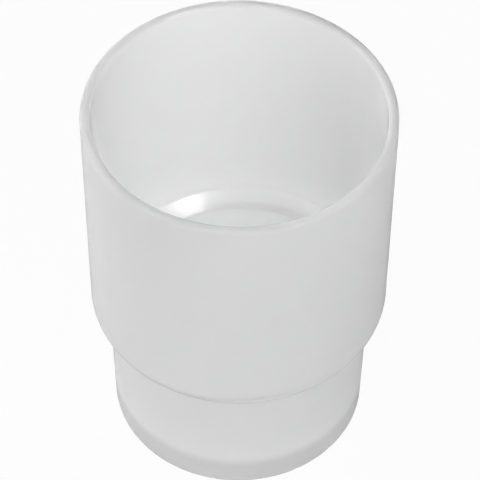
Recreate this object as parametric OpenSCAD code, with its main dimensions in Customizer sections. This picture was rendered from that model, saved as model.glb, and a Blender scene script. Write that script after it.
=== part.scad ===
// Bathroom tumbler, moulded in one piece of glass.
// It stands upright on the XY plane with its axis on Z, and the origin is at the centre of its base.
// The stepped foot drops through a holder's ring, and the rounded shoulder above it rests on that ring.

/* [Rim and wall] */
// Outer diameter at the rim
rim_diameter = 70; // [60:0.5:80]
// Height from the surface it stands on to the top of the lip
height = 97.4; // [80:0.2:120]
// Thickness of the glass at the lip, which is also the width of the round lip
wall = 2.3; // [1.6:0.1:3.2]
// How much thicker the glass is at the ledge inside and below it, where the plunger draws in
draft = 0.7; // [0.2:0.1:1.5]

/* [Body and shoulder] */
// How far the body draws in from the rim down to the shoulder, on each side
body_taper = 0.7; // [0:0.1:2]
// Height at which the body turns into the shoulder
shoulder_height = 39.8; // [34:0.2:50]
// Radius of the round of the shoulder
shoulder_round = 6; // [5:0.1:7.5]
// How far the foot stands back from the body, on each side
shoulder_step = 4.2; // [2:0.1:5]
// Radius of the crease between the shoulder and the foot
crease_round = 0.8; // [0.4:0.1:1.5]

/* [Ledge inside] */
// How far below the shoulder's height the ledge begins at the body's wall
ledge_below = 2.4; // [1.5:0.1:3]
// How far the ledge drops on its way in to the foot's wall
ledge_drop = 3.2; // [2.4:0.1:4]
// Radius of the rounds at both ends of the ledge
ledge_round = 1.2; // [0.6:0.1:1.6]

/* [Foot] */
// Length of the straight band that a holder's ring goes round
seat_length = 8; // [4:0.5:14]
// How far the foot draws in below that band, on each side
foot_taper = 0.7; // [0:0.1:2]
// Radius of the heel
heel_round = 2.6; // [1.6:0.2:6]

/* [Base] */
// Thickness of the solid base, from the surface it stands on to the floor of the cup
base_thickness = 7; // [4:0.5:11]
// Radius of the round between the cup's floor and its wall
floor_round = 4; // [2:0.25:6]
// Width of the flat ring it stands on
stand_width = 4.8; // [2:0.2:8]
// Depth of the shallow hollow inside that ring, at its centre
hollow_depth = 1.2; // [0.5:0.1:2.5]

/* [Hidden] */
$fn = 128;

// How far a cut runs past the surface it opens
overrun = 1;
// How far a round bites into the round or the slope that it touches, so that they always meet
bite = 0.0002;

// Radii from the rim down, each from the one above it
rim_r = rim_diameter / 2;
body_r = rim_r - body_taper;
seat_r = body_r - shoulder_step;
foot_r = seat_r - foot_taper;
hollow_r = foot_r - heel_round - stand_width;

// The lip is a half circle across the wall, and the walls below it end at its centre
lip_r = wall / 2;
lip_z = height - lip_r;

// The shoulder's round ends the body, and the crease's round touches it and the foot's straight band
shoulder_x = body_r - shoulder_round;
crease_x = seat_r + crease_round;
crease_z = shoulder_height - sqrt(pow(shoulder_round + crease_round - bite, 2) - pow(crease_x - shoulder_x, 2));
seat_z = crease_z - seat_length;

// The hollow under the base is a shallow cap of a large ball
ball_r = (pow(hollow_r, 2) + pow(hollow_depth, 2)) / (2 * hollow_depth);

// Inside, from the lip down: body, ledge and foot
inner_rim_r = rim_r - wall;
inner_body_r = body_r - wall - draft;
inner_seat_r = seat_r - wall - draft;
inner_foot_r = foot_r - wall - draft;
floor_x = inner_foot_r - floor_round;
floor_z = base_thickness + floor_round;

// The ledge's two rounds touch the upright walls and the slope between them
ledge_turn = atan2(inner_body_r - inner_seat_r, ledge_drop);
ledge_reach = ledge_round * tan(ledge_turn / 2);
ledge_across = (ledge_round - bite) * cos(ledge_turn);
ledge_down = (ledge_round - bite) * sin(ledge_turn);
ledge_z = shoulder_height - ledge_below;
high_x = inner_body_r - ledge_round;
high_z = ledge_z + ledge_reach;
low_x = inner_seat_r + ledge_round;
low_z = ledge_z - ledge_drop - ledge_reach;

// Half section of the whole outline, filled in to the axis
module outside() {
    // Foot, with its straight band at the top
    heel_x = foot_r - heel_round;
    polygon([
        [0, 0],
        [heel_x, 0],
        [heel_x, heel_round],
        [foot_r, heel_round],
        [seat_r, seat_z],
        [seat_r, crease_z],
        [0, crease_z]
    ]);
    translate([heel_x, heel_round]) circle(r = heel_round);

    // Crease, on the axis's side of the line between the two rounds' centres
    difference() {
        polygon([[0, crease_z], [crease_x, crease_z], [shoulder_x, shoulder_height], [0, shoulder_height]]);
        translate([crease_x, crease_z]) circle(r = crease_round);
    }

    // Shoulder
    translate([shoulder_x, shoulder_height]) circle(r = shoulder_round);

    // Body, widening a little towards the rim
    polygon([[0, shoulder_height], [body_r, shoulder_height], [rim_r, lip_z], [0, lip_z]]);
}

// Half section of the space inside, open at the lip
module inside() {
    // Foot and floor
    polygon([
        [0, base_thickness],
        [floor_x, base_thickness],
        [floor_x, floor_z],
        [inner_foot_r, floor_z],
        [inner_seat_r, low_z],
        [0, low_z]
    ]);
    translate([floor_x, floor_z]) circle(r = floor_round);

    // Ledge, sloping in from the body's wall to the foot's
    difference() {
        polygon([
            [0, low_z],
            [low_x, low_z],
            [low_x - ledge_across, low_z + ledge_down],
            [high_x + ledge_across, high_z - ledge_down],
            [high_x, high_z],
            [0, high_z]
        ]);
        translate([low_x, low_z]) circle(r = ledge_round);
    }
    translate([high_x, high_z]) circle(r = ledge_round);

    // Body
    polygon([
        [0, high_z],
        [inner_body_r, high_z],
        [inner_rim_r, lip_z],
        [inner_rim_r, lip_z + overrun],
        [0, lip_z + overrun]
    ]);
}

// Round lip, the upper half of a circle as wide as the wall
module lip() {
    intersection() {
        translate([rim_r - lip_r, lip_z]) circle(r = lip_r);
        translate([inner_rim_r, lip_z]) square([wall, lip_r + overrun]);
    }
}

// The whole tumbler: one moulding, frosted on the outside
module tumbler() {
    color("gainsboro", 0.8)
    rotate_extrude() {
        difference() {
            outside();
            inside();
            translate([0, hollow_depth - ball_r]) circle(r = ball_r);
        }
        lip();
    }
}

tumbler();
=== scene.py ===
import math

import bpy
from mathutils import Matrix, Vector


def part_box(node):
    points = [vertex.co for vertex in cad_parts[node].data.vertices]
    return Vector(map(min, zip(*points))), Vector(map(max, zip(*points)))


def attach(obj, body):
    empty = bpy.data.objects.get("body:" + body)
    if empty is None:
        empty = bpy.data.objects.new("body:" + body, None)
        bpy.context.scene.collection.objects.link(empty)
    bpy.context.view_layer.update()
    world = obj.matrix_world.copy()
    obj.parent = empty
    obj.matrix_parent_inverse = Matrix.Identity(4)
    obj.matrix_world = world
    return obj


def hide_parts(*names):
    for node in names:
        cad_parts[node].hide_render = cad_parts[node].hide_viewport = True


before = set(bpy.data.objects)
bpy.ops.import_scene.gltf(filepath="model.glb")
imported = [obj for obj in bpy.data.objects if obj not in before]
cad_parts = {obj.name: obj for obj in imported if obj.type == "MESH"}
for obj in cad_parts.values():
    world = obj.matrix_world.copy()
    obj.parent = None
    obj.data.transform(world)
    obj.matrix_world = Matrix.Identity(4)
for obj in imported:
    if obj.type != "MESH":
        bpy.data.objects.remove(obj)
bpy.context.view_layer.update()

# Frosted glass bathroom tumbler on a pale studio floor.
# Metres everywhere, origin at the centre of the base, Z up along the tumbler's axis.

mm = 0.001

boxLow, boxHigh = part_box("tumbler")


# small helpers for node trees
def joinUp(tree, source, target):
    tree.links.new(source, target)


def setInput(tree, socket, value):
    if isinstance(value, bpy.types.NodeSocket):
        tree.links.new(value, socket)
    else:
        socket.default_value = value


def maths(tree, operation, first, second=None, third=None):
    node = tree.nodes.new("ShaderNodeMath")
    node.operation = operation
    for socket, value in zip(node.inputs, (first, second, third)):
        if value is not None:
            setInput(tree, socket, value)
    return node.outputs[0]


def point(tree, across, up):
    node = tree.nodes.new("ShaderNodeCombineXYZ")
    setInput(tree, node.inputs["X"], across)
    setInput(tree, node.inputs["Z"], up)
    return node.outputs[0]


def choose(tree, kind, index, values):
    node = tree.nodes.new("GeometryNodeIndexSwitch")
    node.data_type = kind
    while len(node.index_switch_items) < len(values):
        node.index_switch_items.new()
    setInput(tree, node.inputs["Index"], index)
    for place, value in enumerate(values):
        setInput(tree, node.inputs[place + 1], value)
    return node.outputs[0]


# The glass: its rim and height follow the CAD box, and the rest are the glassmaker's own sizes
glassSizes = {
    "Rim Radius": (boxHigh.x - boxLow.x) / 2,
    "Height": boxHigh.z - boxLow.z - 0.02 * mm,  # the wandering lip stays below the CAD's top
    "Wall": 2.3 * mm,
    "Draft": 0.7 * mm,  # how much thicker the glass is at the ledge inside and below it
    "Body Taper": 0.7 * mm,  # radius lost from the rim down to the shoulder
    "Shoulder Height": 39.8 * mm,
    "Shoulder Round": 6 * mm,
    "Shoulder Step": 4.2 * mm,  # radius lost from the body to the foot
    "Crease Round": 0.8 * mm,
    "Ledge Height": 37.4 * mm,  # inside, where the body's wall turns into the sloping ledge
    "Ledge Drop": 3.2 * mm,
    "Ledge Round": 1.2 * mm,
    "Seat Length": 8 * mm,
    "Foot Taper": 0.7 * mm,
    "Heel Round": 2.6 * mm,
    "Base Thickness": 7 * mm,
    "Floor Round": 4 * mm,
    "Stand Width": 4.8 * mm,  # flat ring that the glass stands on
    "Stand Round": 0.8 * mm,
    "Hollow Depth": 1.2 * mm,
    "Ring Spacing": 1.5 * mm,
    "Unevenness": 0.03 * mm,  # how far the plunger side wanders from a true round
}
glassCounts = {"Segments": 256, "Corner Steps": 14, "Seed": 3}
latheDetails = {
    "lipShare": 0.4999,  # of the wall for each of the lip's two rounds, so that they don't quite meet
    "hollowShare": 0.9,  # of the hollow's ball for its arc, which runs out straight at both ends
    "wanderScale": 45.0,
    "wanderDetail": 1.0,
    "weld": 0.001 * mm,
}


# The lathe: a cornered half section, its corners rounded, then turned round Z
def sectionCorners(tree, size):
    def add(a, b):
        return maths(tree, "ADD", a, b)

    def less(a, b):
        return maths(tree, "SUBTRACT", a, b)

    def times(a, b):
        return maths(tree, "MULTIPLY", a, b)

    bodyRadius = less(size["Rim Radius"], size["Body Taper"])
    seatRadius = less(bodyRadius, size["Shoulder Step"])
    footRadius = less(seatRadius, size["Foot Taper"])
    standInner = less(less(footRadius, size["Heel Round"]), size["Stand Width"])

    # the shoulder's round and the crease's round touch, and share a tangent line through both corners
    bothRounds = add(size["Shoulder Round"], size["Crease Round"])
    turnCosine = less(1.0, maths(tree, "DIVIDE", size["Shoulder Step"], bothRounds))
    turn = maths(tree, "ARCCOSINE", turnCosine)
    halfTurn = maths(tree, "TANGENT", times(turn, 0.5))
    creaseHeight = less(size["Shoulder Height"], times(bothRounds, maths(tree, "SINE", turn)))
    seatBottom = less(creaseHeight, size["Seat Length"])

    shoulderCorner = less(size["Shoulder Height"], times(size["Shoulder Round"], halfTurn))
    shoulder = (bodyRadius, shoulderCorner, size["Shoulder Round"])
    creaseCorner = add(creaseHeight, times(size["Crease Round"], halfTurn))
    crease = (seatRadius, creaseCorner, size["Crease Round"])

    # the hollow is one shallow arc from the axis to the ring that the glass stands on
    ballRadius = maths(tree, "DIVIDE", times(standInner, standInner), times(size["Hollow Depth"], 2.0))
    lipRound = times(size["Wall"], latheDetails["lipShare"])
    wall = size["Wall"]
    thickWall = add(wall, size["Draft"])
    ledgeEnd = less(size["Ledge Height"], size["Ledge Drop"])
    hollowRound = times(ballRadius, latheDetails["hollowShare"])
    outside = [
        (0.0, size["Hollow Depth"], 0.0),
        (times(standInner, 0.5), size["Hollow Depth"], hollowRound),
        (standInner, 0.0, size["Stand Round"]),
        (footRadius, 0.0, size["Heel Round"]),
        (seatRadius, seatBottom, size["Seat Length"]),
        crease,
        shoulder,
        (size["Rim Radius"], size["Height"], lipRound),
    ]
    inside = [
        (less(size["Rim Radius"], wall), size["Height"], lipRound),
        (less(bodyRadius, thickWall), size["Ledge Height"], size["Ledge Round"]),
        (less(seatRadius, thickWall), ledgeEnd, size["Ledge Round"]),
        (less(footRadius, thickWall), size["Base Thickness"], size["Floor Round"]),
        (0.0, size["Base Thickness"], 0.0),
    ]
    return outside, inside


def roundedSection(tree, size):
    outside, inside = sectionCorners(tree, size)
    corners = outside + inside
    index = tree.nodes.new("GeometryNodeInputIndex").outputs[0]

    line = tree.nodes.new("GeometryNodeMeshLine")
    line.inputs["Count"].default_value = len(corners)
    placed = tree.nodes.new("GeometryNodeSetPosition")
    joinUp(tree, line.outputs["Mesh"], placed.inputs["Geometry"])
    places = [point(tree, across, up) for across, up, _ in corners]
    joinUp(tree, choose(tree, "VECTOR", index, places), placed.inputs["Position"])

    curve = tree.nodes.new("GeometryNodeMeshToCurve")
    joinUp(tree, placed.outputs[0], curve.inputs["Mesh"])

    # frost is 1 at the outside's corners and 0 at the inside's, and fades over the lip
    frost = tree.nodes.new("GeometryNodeCaptureAttribute")
    frost.capture_items.new("FLOAT", "Frost")
    joinUp(tree, curve.outputs[0], frost.inputs["Geometry"])
    onOutside = maths(tree, "LESS_THAN", index, len(outside) - 0.5)
    joinUp(tree, onOutside, frost.inputs["Frost"])

    fillet = tree.nodes.new("GeometryNodeFilletCurve")
    fillet.mode = "POLY"
    joinUp(tree, frost.outputs["Geometry"], fillet.inputs["Curve"])
    joinUp(tree, size["Corner Steps"], fillet.inputs["Count"])
    rounds = [radius for _, _, radius in corners]
    joinUp(tree, choose(tree, "FLOAT", index, rounds), fillet.inputs["Radius"])
    fillet.inputs["Limit Radius"].default_value = True

    # long straight stretches get a ring every so often
    position = tree.nodes.new("GeometryNodeInputPosition").outputs[0]
    following = tree.nodes.new("GeometryNodeFieldAtIndex")
    following.data_type = "FLOAT_VECTOR"
    joinUp(tree, maths(tree, "ADD", index, 1.0), following.inputs["Index"])
    joinUp(tree, position, following.inputs["Value"])
    stretch = tree.nodes.new("ShaderNodeVectorMath")
    stretch.operation = "DISTANCE"
    joinUp(tree, position, stretch.inputs[0])
    joinUp(tree, following.outputs[0], stretch.inputs[1])
    cuts = maths(tree, "FLOOR", maths(tree, "DIVIDE", stretch.outputs["Value"], size["Ring Spacing"]))
    divided = tree.nodes.new("GeometryNodeSubdivideCurve")
    joinUp(tree, fillet.outputs[0], divided.inputs["Curve"])
    joinUp(tree, cuts, divided.inputs["Cuts"])
    return divided.outputs[0], frost.outputs["Frost"]


def turnRound(tree, section, frost, size):
    count = tree.nodes.new("GeometryNodeAttributeDomainSize")
    count.component = "CURVE"
    joinUp(tree, section, count.inputs["Geometry"])

    grid = tree.nodes.new("GeometryNodeMeshGrid")
    around = maths(tree, "ADD", size["Segments"], 1.0)
    joinUp(tree, count.outputs["Point Count"], grid.inputs["Vertices X"])
    joinUp(tree, around, grid.inputs["Vertices Y"])

    index = tree.nodes.new("GeometryNodeInputIndex").outputs[0]
    ring = maths(tree, "FLOOR", maths(tree, "DIVIDE", maths(tree, "ADD", index, 0.5), around))
    step = maths(tree, "SUBTRACT", index, maths(tree, "MULTIPLY", ring, around))
    # clockwise, so that the faces point outwards
    angle = maths(tree, "MULTIPLY", maths(tree, "DIVIDE", step, size["Segments"]), -2 * math.pi)

    def fromSection(kind, value):
        sample = tree.nodes.new("GeometryNodeSampleIndex")
        sample.data_type = kind
        sample.domain = "POINT"
        joinUp(tree, section, sample.inputs["Geometry"])
        joinUp(tree, value, sample.inputs["Value"])
        joinUp(tree, ring, sample.inputs["Index"])
        return sample.outputs[0]

    position = tree.nodes.new("GeometryNodeInputPosition").outputs[0]
    half = tree.nodes.new("ShaderNodeSeparateXYZ")
    joinUp(tree, fromSection("FLOAT_VECTOR", position), half.inputs[0])
    turned = tree.nodes.new("ShaderNodeCombineXYZ")
    joinUp(tree, maths(tree, "MULTIPLY", half.outputs["X"], maths(tree, "COSINE", angle)), turned.inputs["X"])
    joinUp(tree, maths(tree, "MULTIPLY", half.outputs["X"], maths(tree, "SINE", angle)), turned.inputs["Y"])
    joinUp(tree, half.outputs["Z"], turned.inputs["Z"])

    shaped = tree.nodes.new("GeometryNodeSetPosition")
    joinUp(tree, grid.outputs["Mesh"], shaped.inputs["Geometry"])
    joinUp(tree, turned.outputs[0], shaped.inputs["Position"])

    named = tree.nodes.new("GeometryNodeStoreNamedAttribute")
    named.data_type = "FLOAT"
    named.domain = "POINT"
    named.inputs["Name"].default_value = "frost"
    joinUp(tree, shaped.outputs[0], named.inputs["Geometry"])
    joinUp(tree, fromSection("FLOAT", frost), named.inputs["Value"])

    merged = tree.nodes.new("GeometryNodeMergeByDistance")
    merged.inputs["Distance"].default_value = latheDetails["weld"]
    joinUp(tree, named.outputs[0], merged.inputs["Geometry"])
    return merged.outputs[0]


def unevenInside(tree, mesh, size):
    normal = tree.nodes.new("GeometryNodeInputNormal").outputs[0]
    noise = tree.nodes.new("ShaderNodeTexNoise")
    noise.noise_dimensions = "4D"
    noise.inputs["Scale"].default_value = latheDetails["wanderScale"]
    noise.inputs["Detail"].default_value = latheDetails["wanderDetail"]
    joinUp(tree, size["Seed"], noise.inputs["W"])
    frost = tree.nodes.new("GeometryNodeInputNamedAttribute")
    frost.data_type = "FLOAT"
    frost.inputs["Name"].default_value = "frost"
    inside = maths(tree, "SUBTRACT", 1.0, frost.outputs["Attribute"])
    reach = maths(tree, "MULTIPLY", maths(tree, "SUBTRACT", noise.outputs[0], 0.5), size["Unevenness"])
    shift = tree.nodes.new("ShaderNodeVectorMath")
    shift.operation = "SCALE"
    joinUp(tree, normal, shift.inputs[0])
    joinUp(tree, maths(tree, "MULTIPLY", reach, inside), shift.inputs["Scale"])
    moved = tree.nodes.new("GeometryNodeSetPosition")
    joinUp(tree, mesh, moved.inputs["Geometry"])
    joinUp(tree, shift.outputs[0], moved.inputs["Offset"])
    return moved.outputs[0]


def latheTree(material):
    tree = bpy.data.node_groups.new("turnedGlass", "GeometryNodeTree")
    for name in glassSizes:
        tree.interface.new_socket(name, in_out="INPUT", socket_type="NodeSocketFloat")
    for name in glassCounts:
        tree.interface.new_socket(name, in_out="INPUT", socket_type="NodeSocketInt")
    tree.interface.new_socket("Glass", in_out="OUTPUT", socket_type="NodeSocketGeometry")
    size = tree.nodes.new("NodeGroupInput").outputs

    section, frost = roundedSection(tree, size)
    mesh = turnRound(tree, section, frost, size)
    mesh = unevenInside(tree, mesh, size)

    smooth = tree.nodes.new("GeometryNodeSetShadeSmooth")
    joinUp(tree, mesh, smooth.inputs["Geometry"])
    real = tree.nodes.new("GeometryNodeRealizeInstances")
    joinUp(tree, smooth.outputs[0], real.inputs[0])
    worn = tree.nodes.new("GeometryNodeSetMaterial")
    worn.inputs["Material"].default_value = material
    joinUp(tree, real.outputs[0], worn.inputs["Geometry"])
    joinUp(tree, worn.outputs[0], tree.nodes.new("NodeGroupOutput").inputs[0])
    return tree


def makeGlass(material):
    tree = latheTree(material)
    holder = bpy.data.objects.new("glassLathe", bpy.data.meshes.new("glassLathe"))
    bpy.context.scene.collection.objects.link(holder)
    lathe = holder.modifiers.new("lathe", "NODES")
    lathe.node_group = tree
    for item in tree.interface.items_tree:
        if item.in_out == "INPUT":
            lathe[item.identifier] = {**glassSizes, **glassCounts}[item.name]
    holder.update_tag()
    bpy.context.view_layer.update()
    seen = holder.evaluated_get(bpy.context.evaluated_depsgraph_get())
    mesh = bpy.data.meshes.new_from_object(seen)
    bpy.data.objects.remove(holder)

    glass = bpy.data.objects.new("tumbler_glass", mesh)
    bpy.context.scene.collection.objects.link(glass)
    return glass


# Satin outside, fire-polished inside
glassFinish = {
    "insideTint": (0.968, 0.97, 0.9705),
    "outsideTint": (0.9, 0.9, 0.9),
    "tintDrift": 0.03,
    "insideRoughness": 0.65,
    "outsideRoughness": 0.75,
    "roughnessDrift": 0.05,
    "driftScale": 38.0,
    "driftDetail": 3.0,
    "grainScale": 2600.0,
    "grainDepth": 0.004 * mm,
    "refraction": 1.5,
    "baseShade": 0.77,  # painted shade on the solid base, as a share of the colour that the rest has
    "creaseShade": 0.86,  # painted shade in the crease under the shoulder
    "creaseBand": (2 * mm, 5.6 * mm, 8.6 * mm),  # its top, middle and end, below the shoulder's height
    "ledgeShade": 0.95,  # painted shade on the ledge inside
    "ledgeBand": (-3.2 * mm, 1.6 * mm, 6.4 * mm),  # the same, below the ledge's height
    "clearShare": 0.6,  # the rest of the light is scattered by the milky satin skin
    "milkReach": 4 * mm,
    "gloss": 1.0,  # fire polish on the inside and over the lip
    "glossRoughness": 0.23,
    "glossEnds": (0.4, 1.0),  # over the lip, from 0 inside to 1 outside: polish ends, all is satin
    "lipShade": (0.15, 0.6, 0.97),  # painted shade: the soft darker line along the lip, from, to and its level
}


def startMaterial(name):
    material = bpy.data.materials.new(name)
    material.use_nodes = True
    material.node_tree.nodes.clear()
    return material, material.node_tree


def ramp(tree, value, start, end, first=0.0, last=1.0, kind="SMOOTHSTEP"):
    node = tree.nodes.new("ShaderNodeMapRange")
    node.interpolation_type = kind
    node.inputs["From Min"].default_value = start
    node.inputs["From Max"].default_value = end
    node.inputs["To Min"].default_value = first
    node.inputs["To Max"].default_value = last
    joinUp(tree, value, node.inputs["Value"])
    return node.outputs[0]


def band(tree, value, start, middle, end, tint):
    # 1 on both sides of the band, and the painted shade in its middle
    falling = ramp(tree, value, start, middle, 1.0, tint)
    rising = ramp(tree, value, middle, end, tint, 1.0)
    return maths(tree, "MAXIMUM", falling, rising)


def onlyWhere(tree, mask, shade):
    # the shade where the mask is 1, and no change where it is 0
    return maths(tree, "MULTIPLY_ADD", mask, maths(tree, "SUBTRACT", shade, 1.0), 1.0)


def noiseOn(tree, place, scale):
    noise = tree.nodes.new("ShaderNodeTexNoise")
    noise.inputs["Scale"].default_value = scale
    joinUp(tree, place, noise.inputs["Vector"])
    return noise


def opaque(colour):
    return (*colour, 1)


def mixed(tree, share, first, second):
    mix = tree.nodes.new("ShaderNodeMix")
    mix.data_type = "RGBA"
    joinUp(tree, share, mix.inputs["Factor"])
    setInput(tree, mix.inputs["A"], first)
    setInput(tree, mix.inputs["B"], second)
    return mix.outputs["Result"]


def paintedShades(tree, height, frost, satin):
    # painted shade: outside, darker where the floor's round thickens the glass, and in the crease
    floorTop = glassSizes["Base Thickness"] + glassSizes["Floor Round"]
    # painted shade on the solid base
    solid = ramp(tree, height, floorTop, glassSizes["Base Thickness"], 1.0, glassFinish["baseShade"])
    # painted shade in the crease under the shoulder
    top, middle, low = [glassSizes["Shoulder Height"] - below for below in glassFinish["creaseBand"]]
    crease = band(tree, height, low, middle, top, glassFinish["creaseShade"])
    outside = onlyWhere(tree, satin, maths(tree, "MULTIPLY", solid, crease))

    # inside, painted shade at the ledge, and on both sides along the lip
    top, middle, low = [glassSizes["Ledge Height"] - below for below in glassFinish["ledgeBand"]]
    ledge = band(tree, height, low, middle, top, glassFinish["ledgeShade"])
    inside = onlyWhere(tree, maths(tree, "SUBTRACT", 1.0, satin), ledge)
    # painted shade along the lip
    start, end, lipShadeLevel = glassFinish["lipShade"]
    lip = band(tree, frost, start, (start + end) / 2, end, lipShadeLevel)
    return maths(tree, "MULTIPLY", maths(tree, "MULTIPLY", outside, inside), lip)


def frostedGlass():
    material, tree = startMaterial("frostedGlass")
    out = tree.nodes.new("ShaderNodeOutputMaterial")
    shader = tree.nodes.new("ShaderNodeBsdfPrincipled")
    shader.inputs["IOR"].default_value = glassFinish["refraction"]
    shader.inputs["Transmission Weight"].default_value = glassFinish["clearShare"]
    shader.inputs["Subsurface Radius"].default_value = (1, 1, 1)
    shader.inputs["Subsurface Scale"].default_value = glassFinish["milkReach"]
    shader.inputs["Coat Roughness"].default_value = glassFinish["glossRoughness"]
    joinUp(tree, shader.outputs[0], out.inputs["Surface"])

    place = tree.nodes.new("ShaderNodeTexCoord").outputs["Object"]
    frost = tree.nodes.new("ShaderNodeAttribute")
    frost.attribute_name = "frost"
    satin = ramp(tree, frost.outputs["Fac"], *glassFinish["glossEnds"])

    # the milk and the polish count where light meets the glass, and not where it leaves it
    leaving = tree.nodes.new("ShaderNodeNewGeometry").outputs["Backfacing"]
    meeting = maths(tree, "SUBTRACT", 1.0, leaving)
    joinUp(tree, meeting, shader.inputs["Subsurface Weight"])
    polished = maths(tree, "MULTIPLY", maths(tree, "SUBTRACT", 1.0, satin), glassFinish["gloss"])
    joinUp(tree, maths(tree, "MULTIPLY", polished, meeting), shader.inputs["Coat Weight"])

    drift = noiseOn(tree, place, glassFinish["driftScale"])
    drift.inputs["Detail"].default_value = glassFinish["driftDetail"]
    wander = maths(tree, "SUBTRACT", drift.outputs[0], 0.5)

    roughnesses = (glassFinish["insideRoughness"], glassFinish["outsideRoughness"])
    rough = ramp(tree, satin, 0.0, 1.0, *roughnesses, kind="LINEAR")
    uneven = maths(tree, "MULTIPLY", maths(tree, "MULTIPLY", wander, glassFinish["roughnessDrift"]), satin)
    joinUp(tree, maths(tree, "ADD", rough, uneven), shader.inputs["Roughness"])

    height = tree.nodes.new("ShaderNodeSeparateXYZ")
    joinUp(tree, place, height.inputs[0])
    shades = paintedShades(tree, height.outputs["Z"], frost.outputs["Fac"], satin)
    # the glass's colour with its random tone and the painted shade
    lighter = maths(tree, "MULTIPLY_ADD", wander, glassFinish["tintDrift"], 1.0)
    tintAndShade = tree.nodes.new("ShaderNodeHueSaturation")
    joinUp(tree, maths(tree, "MULTIPLY", lighter, shades), tintAndShade.inputs["Value"])
    tint = mixed(tree, satin, opaque(glassFinish["insideTint"]), opaque(glassFinish["outsideTint"]))
    joinUp(tree, tint, tintAndShade.inputs["Color"])
    # nothing is lost where light turns back inside the glass
    white = opaque((1, 1, 1))
    joinUp(tree, mixed(tree, leaving, tintAndShade.outputs[0], white), shader.inputs["Base Color"])

    bump = tree.nodes.new("ShaderNodeBump")
    bump.inputs["Distance"].default_value = glassFinish["grainDepth"]
    joinUp(tree, satin, bump.inputs["Strength"])
    joinUp(tree, noiseOn(tree, place, glassFinish["grainScale"]).outputs[0], bump.inputs["Height"])
    joinUp(tree, bump.outputs[0], shader.inputs["Normal"])
    return material


# The room
floorLook = {
    "reach": 3.0,
    "colour": (0.85, 0.85, 0.85),
    "shown": 0.95,  # share of plain white that the camera sees on the floor
    "mirrored": 0.95,  # and that the glass shows
}


def studioFloor():
    material, tree = startMaterial("studioFloor")
    out = tree.nodes.new("ShaderNodeOutputMaterial")
    paint = tree.nodes.new("ShaderNodeBsdfDiffuse")
    paint.inputs["Color"].default_value = (*floorLook["colour"], 1)
    white = tree.nodes.new("ShaderNodeEmission")
    white.inputs["Color"].default_value = (1, 1, 1, 1)
    shown = tree.nodes.new("ShaderNodeMixShader")
    path = tree.nodes.new("ShaderNodeLightPath").outputs
    throughGlass = maths(tree, "MAXIMUM", path["Is Glossy Ray"], path["Is Transmission Ray"])
    share = maths(tree, "MULTIPLY", throughGlass, floorLook["mirrored"])
    seen = maths(tree, "MULTIPLY_ADD", path["Is Camera Ray"], floorLook["shown"], share)
    joinUp(tree, seen, shown.inputs[0])
    joinUp(tree, paint.outputs[0], shown.inputs[1])
    joinUp(tree, white.outputs[0], shown.inputs[2])
    # it isn't there for an eye below it, so that the tumbler's underside can be looked at
    clear = tree.nodes.new("ShaderNodeBsdfTransparent")
    fromBelow = tree.nodes.new("ShaderNodeNewGeometry").outputs["Backfacing"]
    either = tree.nodes.new("ShaderNodeMixShader")
    joinUp(tree, fromBelow, either.inputs[0])
    joinUp(tree, shown.outputs[0], either.inputs[1])
    joinUp(tree, clear.outputs[0], either.inputs[2])
    joinUp(tree, either.outputs[0], out.inputs["Surface"])
    return material


def makeFloor(material):
    reach = floorLook["reach"]
    mesh = bpy.data.meshes.new("studio_floor")
    corners = [(-reach, -reach), (reach, -reach), (reach, reach), (-reach, reach)]
    mesh.from_pydata([(x, y, boxLow.z) for x, y in corners], [], [(0, 1, 2, 3)])
    mesh.materials.append(material)
    floor = bpy.data.objects.new("studio_floor", mesh)
    bpy.context.scene.collection.objects.link(floor)


# a direction is (angle from the camera's side, -Y, towards +X, angle above the table)
def direction(around, up):
    return Vector((math.sin(around) * math.cos(up), -math.cos(around) * math.cos(up), math.sin(up)))


# soft white patches of the room: direction, strength, sharpness
skyPatches = {
    "top": ((0, math.radians(90)), 0.11, 6.0),
    "left": ((math.radians(-90), math.radians(8)), 2.5, 12.0),
    "backLeft": ((math.radians(-135), math.radians(8)), 0.9, 12.0),
    "front": ((0, math.radians(8)), 0.95, 12.0),
    "frontRight": ((math.radians(45), math.radians(8)), 0.6, 12.0),
    "frontHigh": ((0, math.radians(42)), 0.8, 12.0),
    "rightHigh": ((math.radians(45), math.radians(42)), 0.25, 12.0),
}


def makeSky():
    world = bpy.data.worlds.new("studioSky")
    bpy.context.scene.world = world
    world.use_nodes = True
    tree = world.node_tree
    tree.nodes.clear()
    out = tree.nodes.new("ShaderNodeOutputWorld")
    toward = tree.nodes.new("ShaderNodeTexCoord").outputs["Generated"]
    level = 0.0
    for way, strength, sharpness in skyPatches.values():
        facing = tree.nodes.new("ShaderNodeVectorMath")
        facing.operation = "DOT_PRODUCT"
        facing.inputs[1].default_value = direction(*way)
        joinUp(tree, toward, facing.inputs[0])
        # 1 straight at the patch, and 0 on its far side
        near = maths(tree, "MULTIPLY_ADD", facing.outputs["Value"], 0.5, 0.5)
        level = maths(tree, "MULTIPLY_ADD", maths(tree, "POWER", near, sharpness), strength, level)
    lit = tree.nodes.new("ShaderNodeBackground")
    lit.inputs["Color"].default_value = (1, 1, 1, 1)
    joinUp(tree, level, lit.inputs["Strength"])
    white = tree.nodes.new("ShaderNodeBackground")
    white.inputs["Color"].default_value = (1, 1, 1, 1)
    shown = tree.nodes.new("ShaderNodeMixShader")
    joinUp(tree, tree.nodes.new("ShaderNodeLightPath").outputs["Is Camera Ray"], shown.inputs[0])
    joinUp(tree, lit.outputs[0], shown.inputs[1])
    joinUp(tree, white.outputs[0], shown.inputs[2])
    joinUp(tree, shown.outputs[0], out.inputs["Surface"])


# A soft box that reaches from one direction to another, as seen from the tumbler
keyLamp = {
    "lowEnd": (math.radians(46), math.radians(43)),
    "highEnd": (math.radians(54), math.radians(60)),
    "distance": 0.9,
    "width": 0.26,
    "power": 2.9,
}


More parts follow.
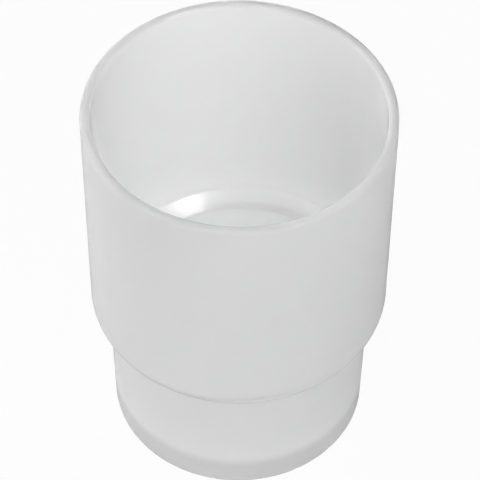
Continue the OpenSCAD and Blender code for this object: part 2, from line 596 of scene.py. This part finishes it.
def makeLamp(name, lamp):
    low = direction(*lamp["lowEnd"]) * lamp["distance"]
    high = direction(*lamp["highEnd"]) * lamp["distance"]
    data = bpy.data.lights.new(name, "AREA")
    data.shape = "ELLIPSE"
    data.size = lamp["width"]
    data.size_y = (high - low).length
    data.energy = lamp["power"]
    away = (low + high).normalized()
    along = (high - low).normalized()
    box = bpy.data.objects.new(name, data)
    box.rotation_mode = "QUATERNION"
    box.rotation_quaternion = Matrix((along.cross(away), along, away)).transposed().to_quaternion()
    box.location = Vector((0, 0, boxHigh.z / 2)) + (low + high) / 2
    # it shows only as a gloss on the glass
    box.visible_camera = False
    box.visible_diffuse = False
    box.visible_transmission = False
    bpy.context.scene.collection.objects.link(box)


# Where the photograph was taken from
cameraSizes = {
    "lookDown": math.radians(49.3),
    "distance": 0.70,
    "aim": (0.00027, 0.0, 0.0544),
    "lens": 229.2,
    "sensor": 36.0,
    "clip": (0.05, 20),
    "roll": math.radians(0.29),
}


def makeCamera():
    data = bpy.data.cameras.new("photoCamera")
    data.lens = cameraSizes["lens"]
    data.sensor_width = cameraSizes["sensor"]
    data.clip_start, data.clip_end = cameraSizes["clip"]
    camera = bpy.data.objects.new("photoCamera", data)
    back = direction(0, cameraSizes["lookDown"])
    aim = Vector(cameraSizes["aim"])
    camera.rotation_mode = "QUATERNION"
    camera.location = aim + back * cameraSizes["distance"]
    turn = (-back).to_track_quat("-Z", "Y")
    camera.rotation_quaternion = turn @ Matrix.Rotation(cameraSizes["roll"], 3, "Z").to_quaternion()
    bpy.context.scene.collection.objects.link(camera)
    bpy.context.scene.camera = camera


bpy.context.scene.view_settings.view_transform = "Standard"
# light goes many times to and fro between the walls of a white glass
lightPaths = bpy.context.scene.cycles
lightPaths.max_bounces = 32
lightPaths.diffuse_bounces = 16
lightPaths.glossy_bounces = 16
lightPaths.transmission_bounces = 32

makeCamera()
print("camera placed")

glass = makeGlass(frostedGlass())
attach(glass, "root")
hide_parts("tumbler")
print("glass turned:", len(glass.data.vertices), "points")

makeFloor(studioFloor())
makeSky()
makeLamp("keyLamp", keyLamp)
print("studio lit")
